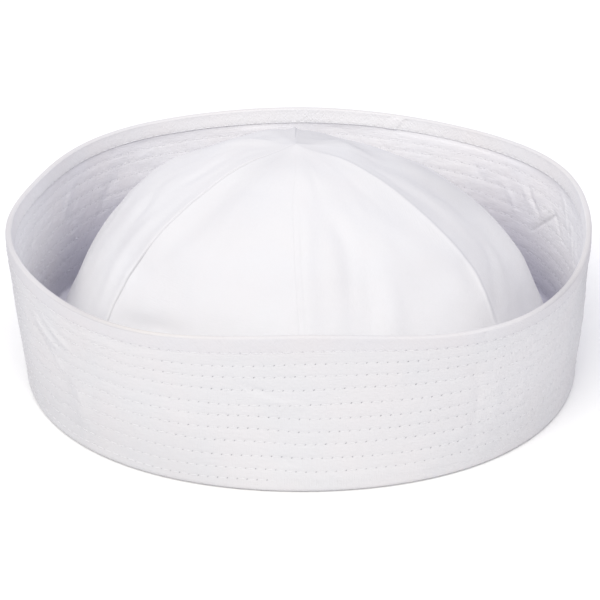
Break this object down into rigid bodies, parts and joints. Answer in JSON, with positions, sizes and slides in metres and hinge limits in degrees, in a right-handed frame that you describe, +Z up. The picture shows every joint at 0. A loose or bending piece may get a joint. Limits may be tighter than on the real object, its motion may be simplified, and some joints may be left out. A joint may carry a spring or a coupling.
{
  "type": "sailor cap",
  "caption": "White cotton sailor cap: a low domed crown of sewn gores inside a stiff, row-stitched cuff turned up all round, with a bound top edge.",
  "frame": {"origin": "on the floor, under the middle of the cap's outline", "axes": "+Z up through the crown, the front seam towards -Y, +X to the right as seen from the front"},
  "size_m": [0.2082, 0.2003, 0.0835],
  "materials": {
    "crown_cotton": "matte",
    "cuff_cotton": "matte",
    "binding_cotton": "matte"
  },
  "bodies": {
    "root": {"crown_gore_front_right": "crown_cotton", "crown_gore_side_right": "crown_cotton", "crown_gore_back_right": "crown_cotton", "crown_gore_back_left": "crown_cotton", "crown_gore_side_left": "crown_cotton", "crown_gore_front_left": "crown_cotton", "cuff": "cuff_cotton", "rim_binding": "binding_cotton"}
  },
  "joints": []
}
